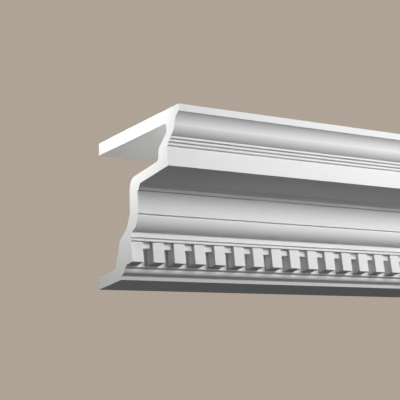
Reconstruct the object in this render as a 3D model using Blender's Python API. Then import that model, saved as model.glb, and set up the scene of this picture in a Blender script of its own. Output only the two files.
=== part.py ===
"""Facade cornice moulding with a dentil course, cast in one piece as an open-backed shell.

Metres. X runs along the wall, +Z is up, the wall is the plane Y = 0 and the street is on the -Y side.
The origin is the middle of the top plate's rear face, which is fixed flat against the wall.
Profile points are (out, z): out is the distance from the wall, z the height over the plate's top.
"""

import math

import bmesh
import bpy

# Length: a row of dentils, cut square along the outer sides of the first and the last one
DENTIL_COUNT = 35
DENTIL_PITCH = 0.0288
DENTIL_WIDTH = 0.0157

# Top plate and the crown under it
PROJECTION = 0.2145
PLATE_THICKNESS = 0.0157
CROWN_FILLET_HEIGHT = 0.0083
CROWN_FILLET_TREAD = 0.0006
CYMA_HOLLOW_HEIGHT = 0.0134
CYMA_HOLLOW_DEPTH = 0.0095
CYMA_HOLLOW_BULGE = -0.0021
CYMA_ROUND_HEIGHT = 0.0107
CYMA_ROUND_DEPTH = 0.0096
CYMA_ROUND_BULGE = 0.0019
STEP_HEIGHTS = (0.0026, 0.0034, 0.0035)
STEP_TREAD = 0.00295

# Corona and the soffit behind its lower edge
CORONA_HEIGHT = 0.0234
CORONA_LEAN = 0.0029
SOFFIT_DEPTH = 0.0708
SOFFIT_DROP = 0.0077

# Bed mould and frieze
BED_ROUND_DEPTH = 0.0024
BED_ROUND_HEIGHT = 0.0032
BED_ROUND_BULGE = 0.0003
BED_ROUND_TREAD = 0.0008
BED_FILLET_HEIGHT = 0.0042
BED_FILLET_TREAD = 0.0038
FRIEZE_HEIGHT = 0.0277
FRIEZE_LEAN = 0.0012
FRIEZE_BULGE = 0.0005

# Groove, ovolo and the listels over the dentils
GROOVE_WIDTH = 0.0022
GROOVE_DEPTH = 0.0030
OVOLO_SETBACK = 0.0012
OVOLO_HEIGHT = 0.0176
OVOLO_DEPTH = 0.0164
OVOLO_BULGE = 0.0048
BAND_HEIGHT = 0.0066
BAND_LEAN = 0.0015
BAND_BULGE = -0.0004
QUIRK_HEIGHT = 0.0025
QUIRK_DEPTH = 0.0032
LISTEL_HEIGHT = 0.0016
LISTEL_SETBACK = 0.0007

# Dentils, and the low bar that joins them under the listel
DENTIL_SETBACK = 0.0027
DENTIL_HEIGHT = 0.0251
DENTIL_LEAN = 0.0031
DENTIL_DEPTH = 0.0166
DENTIL_BOTTOM_DROP = 0.0026
BAR_SETBACK = 0.0045
BAR_HEIGHT = 0.0083
CUT_CLEARANCE = 0.0167

# Mouldings under the dentils, down to the foot at the wall
RIB_HEIGHT = 0.0019
RIB_TREAD = 0.0039
RIB_TREAD_DROP = 0.0019
ROUND_HEIGHT = 0.0058
ROUND_DEPTH = 0.0045
ROUND_BULGE = 0.0013
FOOT_TREAD = 0.0050
FOOT_TREAD_DROP = 0.0023
FOOT_FILLET_HEIGHT = 0.0046
FOOT_FILLET_TAPER = 0.0019
FOOT_BOTTOM_DROP = 0.0070

# Shell walls behind those faces, and the radii of the open back
CYMA_WALL = 0.0190
CORONA_WALL = 0.0205
SOFFIT_WALL = 0.0125
FRIEZE_WALL = 0.0210
OVOLO_WALL = 0.0300
OVOLO_BACK_RISE = 0.0050
DENTIL_WALL = 0.0145
RIB_WALL = 0.0290
FOOT_WALL = 0.0160
TIGHT_RADIUS = 0.0050
EASY_RADIUS = 0.0100
WIDE_RADIUS = 0.0160

CURVE_STEPS = 7
MOST_OF_HALF = 0.45
SHARP_ANGLE = 25.0
COLOUR = (0.87, 0.87, 0.86, 1.0)
ROUGHNESS = 0.55

length = (DENTIL_COUNT - 1) * DENTIL_PITCH + DENTIL_WIDTH


def arc(start, end, bulge, steps=CURVE_STEPS):
    """The points after start on a circular arc to end, whose middle stands bulge proud of the chord."""
    run = end[0] - start[0]
    rise = end[1] - start[1]
    chord = math.hypot(run, rise)
    radius = (chord**2 / 4 + bulge**2) / (2 * bulge)
    half_angle = math.asin(chord / 2 / radius)
    ahead = (run / chord, rise / chord)
    proud = (-rise / chord, run / chord)
    points = []
    for step in range(1, steps + 1):
        angle = half_angle * (2 * step / steps - 1)
        forward = radius * math.sin(angle) + chord / 2
        side = radius * (math.cos(angle) - math.cos(half_angle))
        out = start[0] + ahead[0] * forward + proud[0] * side
        z = start[1] + ahead[1] * forward + proud[1] * side
        points.append((out, z))
    return points


def run_down(start, moves):
    """The points along moves of (name, change in out, change in z, bulge), and where each name last ends."""
    points = [start]
    ends = {}
    for name, outward, upward, bulge in moves:
        end = (points[-1][0] + outward, points[-1][1] + upward)
        points += arc(points[-1], end, bulge) if bulge else [end]
        ends[name] = end
    return points, ends


def front_profile():
    """The street side, from the top plate's front edge down past the dentils' faces to the wall."""
    crown = [
        ("crown fillet", 0, -CROWN_FILLET_HEIGHT, 0),
        ("crown tread", -CROWN_FILLET_TREAD, 0, 0),
        ("cyma hollow", -CYMA_HOLLOW_DEPTH, -CYMA_HOLLOW_HEIGHT, CYMA_HOLLOW_BULGE),
        ("cyma round", -CYMA_ROUND_DEPTH, -CYMA_ROUND_HEIGHT, CYMA_ROUND_BULGE),
    ]
    for height in STEP_HEIGHTS:
        crown.append(("step face", 0, -height, 0))
        crown.append(("step tread", -STEP_TREAD, 0, 0))
    corona = [
        ("corona", CORONA_LEAN, -CORONA_HEIGHT, 0),
        ("soffit", -SOFFIT_DEPTH, -SOFFIT_DROP, 0),
        ("bed round", -BED_ROUND_DEPTH, -BED_ROUND_HEIGHT, BED_ROUND_BULGE),
        ("bed round tread", -BED_ROUND_TREAD, 0, 0),
        ("bed fillet", 0, -BED_FILLET_HEIGHT, 0),
        ("bed tread", -BED_FILLET_TREAD, 0, 0),
        ("frieze", FRIEZE_LEAN, -FRIEZE_HEIGHT, FRIEZE_BULGE),
    ]
    ovolo = [
        ("groove top", -GROOVE_DEPTH, 0, 0),
        ("groove floor", 0, -GROOVE_WIDTH, 0),
        ("groove foot", GROOVE_DEPTH - OVOLO_SETBACK, 0, 0),
        ("ovolo", -OVOLO_DEPTH, -OVOLO_HEIGHT, OVOLO_BULGE),
        ("band", BAND_LEAN, -BAND_HEIGHT, BAND_BULGE),
        ("quirk top", -QUIRK_DEPTH, 0, 0),
        ("quirk floor", 0, -QUIRK_HEIGHT, 0),
        ("quirk foot", QUIRK_DEPTH - LISTEL_SETBACK, 0, 0),
        ("listel", 0, -LISTEL_HEIGHT, 0),
    ]
    dentil = [
        ("dentil top", -DENTIL_SETBACK, 0, 0),
        ("dentil face", DENTIL_LEAN, -DENTIL_HEIGHT, 0),
        ("dentil bottom", -DENTIL_DEPTH, -DENTIL_BOTTOM_DROP, 0),
    ]
    foot = [
        ("rib", 0, -RIB_HEIGHT, 0),
        ("rib tread", -RIB_TREAD, -RIB_TREAD_DROP, 0),
        ("round", -ROUND_DEPTH, -ROUND_HEIGHT, ROUND_BULGE),
        ("foot tread", -FOOT_TREAD, -FOOT_TREAD_DROP, 0),
        ("foot fillet", -FOOT_FILLET_TAPER, -FOOT_FILLET_HEIGHT, 0),
    ]
    points, ends = run_down((PROJECTION, 0), crown + corona + ovolo + dentil + foot)
    points.append((0, points[-1][1] - FOOT_BOTTOM_DROP))
    return points, ends


def along(out, z, direction, distance):
    """The point at a distance from (out, z) in a direction of any length."""
    scale = distance / math.hypot(*direction)
    return (out + direction[0] * scale, z + direction[1] * scale)


def rounded(corners):
    """A path through (out, z, radius) corners, each turned by an arc; radius 0 stays sharp."""
    points = []
    for number, (out, z, radius) in enumerate(corners):
        if not radius:
            points.append((out, z))
            continue
        before = corners[number - 1]
        after = corners[number + 1]
        to_before = (before[0] - out, before[1] - z)
        to_after = (after[0] - out, after[1] - z)
        turn = math.atan2(
            to_before[0] * to_after[1] - to_before[1] * to_after[0],
            to_before[0] * to_after[0] + to_before[1] * to_after[1],
        )
        half_turn = abs(turn) / 2
        room = MOST_OF_HALF * min(math.hypot(*to_before), math.hypot(*to_after))
        reach = min(radius / math.tan(half_turn), room)
        start = along(out, z, to_before, reach)
        end = along(out, z, to_after, reach)
        bulge = reach * math.tan(half_turn) * (1 - math.sin(half_turn))
        points.append(start)
        points += arc(start, end, math.copysign(bulge, turn))
    return points


def back_profile(ends):
    """The open back, from the foot's rear edge up and round to the top plate's rear edge."""
    soffit_slope = SOFFIT_DROP / SOFFIT_DEPTH
    corona_back = ends["corona"][0] - CORONA_WALL - CORONA_LEAN
    frieze_back = ends["bed tread"][0] - FRIEZE_WALL
    corona_foot = ends["corona"][1] - soffit_slope * (ends["corona"][0] - corona_back) + SOFFIT_WALL
    frieze_head = ends["corona"][1] - soffit_slope * (ends["corona"][0] - frieze_back) + SOFFIT_WALL
    dentil_back = ends["dentil bottom"][0] - DENTIL_LEAN
    foot_rear = ends["foot fillet"][1] - FOOT_BOTTOM_DROP + FOOT_WALL
    foot_slope = FOOT_BOTTOM_DROP / ends["foot fillet"][0]
    foot_corner = ends["rib"][0] - RIB_WALL
    corners = [
        (0, foot_rear, 0),
        (foot_corner, foot_rear + foot_slope * foot_corner, EASY_RADIUS),
        (dentil_back - DENTIL_WALL, ends["band"][1], WIDE_RADIUS),
        (ends["groove foot"][0] - OVOLO_WALL, ends["ovolo"][1] + OVOLO_BACK_RISE, WIDE_RADIUS),
        (frieze_back, ends["frieze"][1] + GROOVE_WIDTH, WIDE_RADIUS),
        (frieze_back, frieze_head, WIDE_RADIUS),
        (corona_back, corona_foot, EASY_RADIUS),
        (corona_back, ends["step tread"][1], EASY_RADIUS),
        (ends["cyma hollow"][0] - CYMA_WALL, ends["cyma hollow"][1] - TIGHT_RADIUS, TIGHT_RADIUS),
        (ends["cyma hollow"][0] - CYMA_WALL, -PLATE_THICKNESS, TIGHT_RADIUS),
        (0, -PLATE_THICKNESS, 0),
    ]
    return rounded(corners)


def gap_profile(ends):
    """What is cut away between two dentils: below the listel, in front of the bar and the back wall.

    The cut starts in front of the dentils' faces by CUT_CLEARANCE and ends as far below their feet.
    """
    dentil_slope = DENTIL_LEAN / DENTIL_HEIGHT
    head_out, head_z = ends["dentil top"]
    face_out, face_z = ends["dentil face"]
    wall_out, wall_z = ends["dentil bottom"]
    bar_out = head_out - BAR_SETBACK
    bar_z = head_z - BAR_HEIGHT
    wall_at_bar = wall_out - dentil_slope * (bar_z - wall_z)
    return [
        (face_out + CUT_CLEARANCE, head_z),
        (bar_out, head_z),
        (bar_out, bar_z),
        (wall_at_bar, bar_z),
        (wall_out, wall_z),
        (face_out, face_z - CUT_CLEARANCE),
        (face_out + CUT_CLEARANCE, face_z - CUT_CLEARANCE),
    ]


def prism(name, profile, spans):
    """One mesh of the profile extruded over each (start, end) along X, with the plate's middle at z 0."""
    form = bmesh.new()
    for start, end in spans:
        corners = [form.verts.new((start, -out, z + PLATE_THICKNESS / 2)) for out, z in profile]
        face = form.faces.new(corners)
        far = bmesh.ops.extrude_face_region(form, geom=[face], use_keep_orig=True)
        moved = [item for item in far["geom"] if isinstance(item, bmesh.types.BMVert)]
        bmesh.ops.translate(form, verts=moved, vec=(end - start, 0, 0))
    bmesh.ops.recalc_face_normals(form, faces=form.faces)
    mesh = bpy.data.meshes.new(name)
    form.to_mesh(mesh)
    form.free()
    piece = bpy.data.objects.new(name, mesh)
    bpy.context.scene.collection.objects.link(piece)
    return piece


def primed_foam():
    """White primed polyurethane, satin."""
    material = bpy.data.materials.new("white_primed_polyurethane")
    material.use_nodes = True
    shader = material.node_tree.nodes["Principled BSDF"]
    shader.inputs["Base Color"].default_value = COLOUR
    shader.inputs["Roughness"].default_value = ROUGHNESS
    shader.inputs["Metallic"].default_value = 0.0
    return material


def moulding():
    """The cast shell, with the gaps between its dentils cut out of the continuous dentil course."""
    front, ends = front_profile()
    body = prism("dentil_cornice", front + back_profile(ends) + [(0, 0)], [(-length / 2, length / 2)])
    gap_width = DENTIL_PITCH - DENTIL_WIDTH
    first_gap = DENTIL_WIDTH - length / 2
    gaps = []
    for number in range(DENTIL_COUNT - 1):
        start = first_gap + number * DENTIL_PITCH
        gaps.append((start, start + gap_width))
    cutter = prism("dentil_gaps", gap_profile(ends), gaps)
    cutter.hide_render = True
    cutter.display_type = "WIRE"
    cut = body.modifiers.new("Dentil gaps", "BOOLEAN")
    cut.operation = "DIFFERENCE"
    cut.solver = "EXACT"
    cut.object = cutter
    body.data.materials.append(primed_foam())
    body.data.shade_smooth()
    body.data.set_sharp_from_angle(angle=math.radians(SHARP_ANGLE))
    return body


for old in list(bpy.data.objects):
    bpy.data.objects.remove(old)

moulding()
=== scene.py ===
"""A dentil cornice moulding as it looks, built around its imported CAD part.

Metres, in the part's frame: X along the moulding, the wall at Y = 0, the street on the -Y side, +Z up.
"""

import math

import bmesh
import bpy
import numpy as np
from mathutils import Matrix


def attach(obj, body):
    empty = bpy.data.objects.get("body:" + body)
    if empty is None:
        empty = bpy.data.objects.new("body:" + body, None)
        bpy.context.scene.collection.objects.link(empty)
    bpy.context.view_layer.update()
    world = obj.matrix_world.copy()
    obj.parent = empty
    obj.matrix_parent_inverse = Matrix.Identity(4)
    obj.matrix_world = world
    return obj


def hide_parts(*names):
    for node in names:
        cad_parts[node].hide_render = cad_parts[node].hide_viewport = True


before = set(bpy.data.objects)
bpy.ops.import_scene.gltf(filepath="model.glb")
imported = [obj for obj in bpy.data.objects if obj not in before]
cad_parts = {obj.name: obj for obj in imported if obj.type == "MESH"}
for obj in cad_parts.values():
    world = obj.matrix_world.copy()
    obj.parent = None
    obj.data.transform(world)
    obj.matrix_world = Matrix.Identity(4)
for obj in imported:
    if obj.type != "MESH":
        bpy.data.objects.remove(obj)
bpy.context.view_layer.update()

# The cornice moulding.
# Real piece: a length of facade cornice, cast in rigid polyurethane foam as an open-backed shell, primed
# white and sawn square at both ends. It is glued to the wall by the rear edges of its plate and its foot.

# Sizes in millimetres: out from the wall, down from the plate's top, and along the moulding.
DENTILS = 35
DENTIL_PITCH = 28.8
DENTIL_WIDTH = 15.7
PROJECTION = 214.5
PLATE = 15.7
ARRIS = 0.5
# The street side as moves of (out, down, bow, softness). The bow is how far the middle of a move stands off
# its chord, and the softness is how many arrises the edge at its end is rounded by.
CROWN = [
    (0, 8.3, 0, 1),
    (-0.6, 0, 0, 1),
    (-9.5, 13.4, -2.1, 1),
    (-9.6, 10.7, 1.9, 2),
    (0, 2.6, 0, 2),
    (-2.95, 0, 0, 2),
    (0, 3.4, 0, 2),
    (-2.95, 0, 0, 2),
    (0, 3.5, 0, 2),
    (-2.95, 0, 0, 2),
]
CORONA = [(2.9, 23.4, 0, 1), (-70.8, 7.7, 0, 1)]
BED_AND_FRIEZE = [
    (-2.4, 3.2, 0.3, 1),
    (-0.8, 0, 0, 1),
    (0, 4.2, 0, 1),
    (-3.8, 0, 0, 1),
    (1.2, 27.7, 0.5, 0.3),
]
GROOVE_AND_OVOLO = [
    (-3.0, 0, 0, 0.3),
    (0, 2.2, 0, 0.3),
    (1.8, 0, 0, 0.3),
    (-16.4, 17.6, 4.8, 1),
    (1.5, 6.6, -0.4, 0.3),
    (-3.2, 0, 0, 0.3),
    (0, 2.5, 0, 0.3),
    (2.5, 0, 0, 0.3),
    (0, 1.6, 0, 1),
]
RIB_AND_FOOT = [
    (0, 1.9, 0, 1),
    (-3.9, 1.9, 0, 1),
    (-4.5, 5.8, 1.3, 1),
    (-5.0, 2.3, 0, 1),
    (-1.9, 4.6, 0, 1),
]
DENTIL_SETBACK = 2.7
DENTIL_HEIGHT = 25.1
DENTIL_LEAN = 3.1
DENTIL_DEPTH = 16.6
DENTIL_DROP = 2.6
BAR_SETBACK = 4.5
BAR_HEIGHT = 8.3
LIP_HEIGHT = 2.1
LIP_PROUD = 0.5
FOOT_DROP = 7.0
# The open back as corners of (out, down, radius), from the foot's rear edge up to the plate's.
HOLLOW_BACK = [
    (0, 173.8, 0),
    (50.25, 168.3, 10),
    (61.65, 134.5, 16),
    (81.05, 122.9, 16),
    (90.05, 105.9, 16),
    (90.05, 63.5, 16),
    (165.45, 55.3, 10),
    (165.45, 41.9, 10),
    (185.4, 26.7, 5),
    (185.4, PLATE, 5),
    (0, PLATE, 0),
]
# Where each finish stands in the mesh's list of materials.
PRIMED_FACE, MOULDED_BACK, SAWN_END = range(3)


def bowed(start, chord, bow, steps):
    """Points on a circular arc from start over a chord of (out, down), whose middle stands bow off the chord.

    With half angle h and radius r, the point at angle a from the middle is r sin a along the chord and
    r (cos a - cos h) to its side. Without a bow there is only the chord's end.
    """
    chord = np.array(chord, float)
    if not bow:
        return start + chord[None, :]
    length = np.hypot(*chord)
    radius = (length**2 / 4 + bow**2) / (2 * bow)
    half = np.arcsin(length / 2 / radius)
    angle = half * (2 * np.arange(1, steps + 1) / steps - 1)
    ahead = chord / length
    side = np.array([ahead[1], -ahead[0]])
    along = radius * np.sin(angle) + length / 2
    aside = radius * (np.cos(angle) - np.cos(half))
    return start + along[:, None] * ahead + aside[:, None] * side


def run_down(start, moves, steps=10):
    """The moves end to end from start: their points, and each point's softness, which is 0 within a bow."""
    points = [np.array([start], float)]
    softness = [[1]]
    for *chord, bow, soft in moves:
        points.append(bowed(points[-1][-1], chord, bow, steps))
        softness.append([0] * (len(points[-1]) - 1) + [soft])
    return np.concatenate(points), np.concatenate(softness)


def eased(points, softness, arris):
    """Each soft corner of the closed line becomes three points: one before it, one after it, and a middle.

    The outer two stand off the corner by its softness times the arris, but by 0.4 of the shorter side at
    most. The middle one is half the corner and a quarter of each of them.
    """
    before = np.roll(points, 1, axis=0) - points
    after = np.roll(points, -1, axis=0) - points
    length_before = np.hypot(*before.T)
    length_after = np.hypot(*after.T)
    reach = np.minimum(arris * softness, 0.4 * np.minimum(length_before, length_after))
    first = points + before * (reach / length_before)[:, None]
    last = points + after * (reach / length_after)[:, None]
    middle = points / 2 + (first + last) / 4
    three = np.stack([first, middle, last], axis=1)
    soft = softness > 0
    return three[np.stack([soft, np.ones_like(soft), soft], axis=1)]


def rounded(corners, steps=6):
    """A line through (out, down, radius) corners, each turned by a quadratic curve between its two sides.

    The curve's ends stand off the corner by the radius over the tangent of half the angle between the sides,
    but by 0.45 of the shorter side at most. At share s of its way the curve is (1 - s) squared of its start,
    2 s (1 - s) of the corner and s squared of its end.
    """
    corners = np.array(corners, float)
    points = [corners[:1, :2]]
    for before, here, after in zip(corners[:-2], corners[1:-1], corners[2:]):
        back = before[:2] - here[:2]
        on = after[:2] - here[:2]
        lengths = np.array([np.hypot(*back), np.hypot(*on)])
        cosine = back @ on / lengths.prod()
        reach = min(here[2] * np.sqrt((1 + cosine) / (1 - cosine)), 0.45 * lengths.min())
        start = here[:2] + back / lengths[0] * reach
        end = here[:2] + on / lengths[1] * reach
        share = np.linspace(0, 1, steps + 1)[:, None]
        points.append((1 - share) ** 2 * start + 2 * share * (1 - share) * here[:2] + share**2 * end)
    points.append(corners[-1:, :2])
    return np.concatenate(points)


def moulding_section(inset):
    """The closed section through a dentil whose face and bottom stand inset in; None is through a gap.

    Both kinds have the same number of points, so that a side wall can join one to the other point by point:
    the points down a dentil's face stand against those round the low bar and down the gap's back.
    """
    street_side = CROWN + CORONA + BED_AND_FRIEZE + GROOVE_AND_OVOLO
    above, above_softness = run_down((PROJECTION, 0), street_side)
    head = above[-1] - [DENTIL_SETBACK, 0]
    foot = head + [DENTIL_LEAN, DENTIL_HEIGHT]
    root = foot + [-DENTIL_DEPTH, DENTIL_DROP]
    slope = DENTIL_LEAN / DENTIL_HEIGHT
    if inset is None:
        bar = head - [BAR_SETBACK, 0]
        lip = bar + [0, BAR_HEIGHT - LIP_HEIGHT]
        bar_foot = bar + [LIP_PROUD, BAR_HEIGHT]
        wall = [root[0] - slope * (root[1] - bar_foot[1]), bar_foot[1]]
        teeth = [head, bar, lip, lip + [LIP_PROUD, 0], bar_foot, wall, (wall + root) / 2, root]
    else:
        shares = np.array([0, 0.12, 0.25, 0.4, 0.6, 1])
        face = head + shares[:, None] * [DENTIL_LEAN, DENTIL_HEIGHT] - [inset, 0]
        face[-1, 1] -= inset
        teeth = [*face, (face[-1] + root) / 2, root]
    below, below_softness = run_down(root, RIB_AND_FOOT)
    rear = [0, below[-1, 1] + FOOT_DROP]
    back = rounded(HOLLOW_BACK)
    back_count = len(back) + 1
    points = np.concatenate([above, teeth, below[1:], [rear], back, [[0, 0]]])
    softness = [above_softness, np.ones(len(teeth)), below_softness[1:], [1], np.zeros(back_count)]
    return eased(points, np.concatenate(softness), ARRIS), back_count


def moulding_surface():
    """The section carried along X through stations at each dentil's two sides, as whole arrays.

    A dentil's side edge is rounded by stations whose inset grows as a quarter circle does. At the side itself
    the dentil's section meets the gap's section at one X, which makes the side wall.
    """
    turn = np.radians([90, 45, 0])
    insets = ARRIS * (1 - np.cos(turn))
    sections = []
    for inset in [*insets, None]:
        section, back_count = moulding_section(inset)
        sections.append(section)
    gap = len(insets)
    into_dentil = list(range(gap))
    dentil_kinds = [gap, *into_dentil, *into_dentil[::-1], gap]
    side = ARRIS * (1 - np.sin(turn))
    dentil_x = np.concatenate([[0], side, DENTIL_WIDTH - side[::-1], [DENTIL_WIDTH]])
    starts = DENTIL_PITCH * np.arange(DENTILS)
    stations = (starts[:, None] + dentil_x).ravel()[1:-1]
    kinds = np.tile(dentil_kinds, DENTILS)[1:-1]
    # Both sawn ends go straight through a dentil, so its outer edge is not rounded there.
    kinds[[0, 1, -2, -1]] = into_dentil[-1]
    out, down = np.array(sections)[kinds].transpose(2, 0, 1)
    across = np.repeat(stations[:, None] - stations[-1] / 2, out.shape[1], axis=1)
    # The origin is halfway up the plate's rear face, in the middle of the run.
    points = np.stack([across, -out, PLATE / 2 - down], axis=2) / 1000
    count, around = out.shape
    first = np.arange(count - 1)[:, None] * around
    here = np.arange(around)
    following = np.roll(here, -1)
    corners = [first + here, first + around + here, first + around + following, first + following]
    on_back = np.tile(here >= around - back_count, count - 1)
    return points.reshape(-1, 3), np.stack(corners, axis=2).reshape(-1, 4), on_back, around


def moulding_mesh():
    """The surface, closed by a flat face at each sawn end.

    At a dentil's side two stations share one X, and those of their points that coincide are merged.
    """
    points, quads, on_back, around = moulding_surface()
    mesh = bpy.data.meshes.new("dentil_cornice_cast")
    ends = [list(range(around)), list(range(len(points) - around, len(points)))[::-1]]
    mesh.from_pydata(points.tolist(), [], quads.tolist() + ends)
    finish = np.concatenate([np.where(on_back, MOULDED_BACK, PRIMED_FACE), [SAWN_END, SAWN_END]])
    mesh.polygons.foreach_set("material_index", finish.astype(np.int32))
    form = bmesh.new()
    form.from_mesh(mesh)
    bmesh.ops.remove_doubles(form, verts=form.verts, dist=1e-6)
    bmesh.ops.recalc_face_normals(form, faces=form.faces)
    form.to_mesh(mesh)
    form.free()
    return mesh


def linear(code):
    """The linear colour of an sRGB hex code: ((c + 0.055) / 1.055) to the power 2.4 for each part c."""
    parts = np.array([int(code[place : place + 2], 16) for place in (0, 2, 4)]) / 255
    return (*(((parts + 0.055) / 1.055) ** 2.4).tolist(), 1.0)


def add(tree, kind, links=(), values=(), **settings):
    """One node of a kind, with its settings, its (socket, value) pairs and its (socket, source) links."""
    made = tree.nodes.new(kind)
    for name, value in settings.items():
        setattr(made, name, value)
    for socket, value in values:
        made.inputs[socket].default_value = value
    for socket, source in links:
        tree.links.new(source, made.inputs[socket])
    return made


def cast_finish(name, light, dark, roughness, grain, depth, cloud=45):
    """A matt white on cast rigid polyurethane: slow clouds between two near whites, and a grain in relief.

    The cloud's and the grain's width and the grain's depth are in millimetres. A noise's scale is 1000 over
    its width.
    """
    material = bpy.data.materials.new(name)
    material.use_nodes = True
    tree = material.node_tree
    tree.nodes.clear()
    place = add(tree, "ShaderNodeTexCoord").outputs["Object"]
    clouds = add(tree, "ShaderNodeTexNoise", [("Vector", place)], [("Scale", 1000 / cloud), ("Detail", 3.0)])
    grains = add(tree, "ShaderNodeTexNoise", [("Vector", place)], [("Scale", 1000 / grain), ("Detail", 4.0)])
    tone = add(tree, "ShaderNodeMix", [("Factor", clouds.outputs["Fac"])], data_type="RGBA")
    tone.inputs["A"].default_value = linear(light)
    tone.inputs["B"].default_value = linear(dark)
    relief = add(
        tree,
        "ShaderNodeBump",
        [("Height", grains.outputs["Fac"])],
        [("Strength", 0.5), ("Distance", depth / 1000)],
    )
    shader = add(
        tree,
        "ShaderNodeBsdfPrincipled",
        [("Base Color", tone.outputs["Result"]), ("Normal", relief.outputs["Normal"])],
        [("Roughness", roughness), ("IOR", 1.49)],
    )
    add(tree, "ShaderNodeOutputMaterial", [("Surface", shader.outputs["BSDF"])])
    return material


# Sprayed acrylic primer on the cast face: an even matt white. Its 0.3 mm stipple is drawn at 1.2 mm to show.
primed_face = cast_finish(
    "white_primed_polyurethane", light="E5E5E5", dark="E2E2E2", roughness=0.6, grain=1.2, depth=0.2
)
# The skin that the mould leaves on the open back: a duller, less even white with an orange peel 2.5 mm wide.
moulded_back = cast_finish(
    "moulded_back_polyurethane", light="E4E4E3", dark="DDDDDB", roughness=0.7, grain=2.5, depth=0.5
)
# Bare foam where the saw went through: dead matt. Its 0.2 mm cells are drawn at 0.9 mm to show.
sawn_end = cast_finish(
    "sawn_polyurethane", light="E5E5E4", dark="DFDFDD", roughness=0.8, grain=0.9, depth=0.3
)
moulding = bpy.data.objects.new("cornice_moulding", moulding_mesh())
bpy.context.scene.collection.objects.link(moulding)
for finish in (primed_face, moulded_back, sawn_end):
    moulding.data.materials.append(finish)
moulding.data.shade_smooth()
moulding.data.set_sharp_from_angle(angle=math.radians(60))
normals = moulding.modifiers.new("Flat faces stay flat", "WEIGHTED_NORMAL")
normals.keep_sharp = True
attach(moulding, "root")
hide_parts("dentil_cornice")

# The studio.
# The moulding hangs in the air in front of a plain taupe paper, over a pale floor below the picture.
# It is lit by soft boxes, most of them on the street side, and by the white air round it.
FLOOR_DROP = 1.9
FLOOR_RADIUS = 5
FLOOR_PAINT = "D9D7D3"
PAPER = "AFA397"


def floor_disc():
    """A flat round floor under the moulding.

    It glows a little, as the boxes hardly reach it, and sends no light up: the air below the horizon does.
    """
    bpy.ops.mesh.primitive_circle_add(
        vertices=96, radius=FLOOR_RADIUS, fill_type="NGON", location=(0, 0, -FLOOR_DROP)
    )
    disc = bpy.context.object
    disc.name = "studio_floor"
    paint = bpy.data.materials.new("pale_floor_paint")
    paint.use_nodes = True
    shader = paint.node_tree.nodes["Principled BSDF"]
    shader.inputs["Base Color"].default_value = linear(FLOOR_PAINT)
    shader.inputs["Roughness"].default_value = 0.9
    shader.inputs["Emission Color"].default_value = linear(FLOOR_PAINT)
    shader.inputs["Emission Strength"].default_value = 0.9
    disc.data.materials.append(paint)
    disc.visible_diffuse = False
    disc.visible_glossy = False
    return disc


floor_disc()

# The camera sees the paper. The moulding is lit by weak white air, brighter below the horizon than above it.
world = bpy.data.worlds.new("studio_air")
bpy.context.scene.world = world
world.use_nodes = True
air = world.node_tree
air.nodes.clear()
seen = add(air, "ShaderNodeBackground", values=[("Color", linear(PAPER))])
way = add(air, "ShaderNodeTexCoord")
height = add(air, "ShaderNodeSeparateXYZ", [(0, way.outputs["Generated"])])
strength = add(
    air,
    "ShaderNodeMapRange",
    [("Value", height.outputs["Z"])],
    [("From Min", -0.1), ("From Max", 0.1), ("To Min", 0.08), ("To Max", 0.015)],
)
white = ("Color", (1, 1, 1, 1))
felt = add(air, "ShaderNodeBackground", [("Strength", strength.outputs["Result"])], [white])
ray = add(air, "ShaderNodeLightPath")
by_ray = [(0, ray.outputs["Is Camera Ray"]), (1, felt.outputs[0]), (2, seen.outputs[0])]
both = add(air, "ShaderNodeMixShader", by_ray)
add(air, "ShaderNodeOutputWorld", [("Surface", both.outputs[0])])
bpy.context.scene.view_settings.view_transform = "Standard"

# The boxes face a line along the middle of the moulding.
AIM_Y = -0.1
AIM_Z = -0.08


def soft_box(name, middle, turn, rise, distance, width, height, power):
    """An area light of so many watts, in metres and degrees.

    It faces the point at X = middle on that line. From straight in front of it, on the street side, the box
    is turned to the right and then raised.
    """
    lamp = bpy.data.lights.new(name, "AREA")
    lamp.shape = "RECTANGLE"
    lamp.size = width
    lamp.size_y = height
    lamp.energy = power
    light = bpy.data.objects.new(name, lamp)
    light.matrix_world = (
        Matrix.Translation((middle, AIM_Y, AIM_Z))
        @ Matrix.Rotation(math.radians(turn), 4, "Z")
        @ Matrix.Rotation(math.radians(90 - rise), 4, "X")
        @ Matrix.Translation((0, 0, distance))
    )
    light.visible_camera = False
    bpy.context.scene.collection.objects.link(light)


# Three boxes light the street side and one the cut end. The last two light the back and the top.
soft_box("front_box", middle=-0.08, turn=-1, rise=16, distance=1.1, width=0.35, height=0.4, power=8.3)
soft_box("upper_box", middle=0.1, turn=10, rise=21, distance=1.4, width=0.3, height=0.5, power=2.6)
soft_box("right_box", middle=0.1, turn=41, rise=7, distance=1.4, width=0.3, height=0.4, power=5.9)
soft_box("end_box", middle=-0.49, turn=-92, rise=42, distance=0.25, width=0.08, height=0.08, power=0.8)
soft_box("rear_box", middle=-0.3, turn=-170, rise=-8, distance=1.6, width=0.5, height=0.5, power=18)
soft_box("top_box", middle=0, turn=180, rise=60, distance=2.2, width=1.0, height=1.0, power=26)

# The camera.
# It stands to the left of the cut end and a little under it, and looks up along the moulding's face.
CAMERA_PLACE = (-0.98891, -1.09897, -0.27813)
CAMERA_TURN = 30.2915
CAMERA_RISE = 9.9139
CAMERA_ROLL = -1.0695
lens = bpy.data.cameras.new("camera")
lens.lens = 85
lens.sensor_width = 36
camera = bpy.data.objects.new("camera", lens)
bpy.context.scene.collection.objects.link(camera)
camera.matrix_world = (
    Matrix.Translation(CAMERA_PLACE)
    @ Matrix.Rotation(math.radians(-CAMERA_TURN), 4, "Z")
    @ Matrix.Rotation(math.radians(90 + CAMERA_RISE), 4, "X")
    @ Matrix.Rotation(math.radians(CAMERA_ROLL), 4, "Z")
)
bpy.context.scene.camera = camera
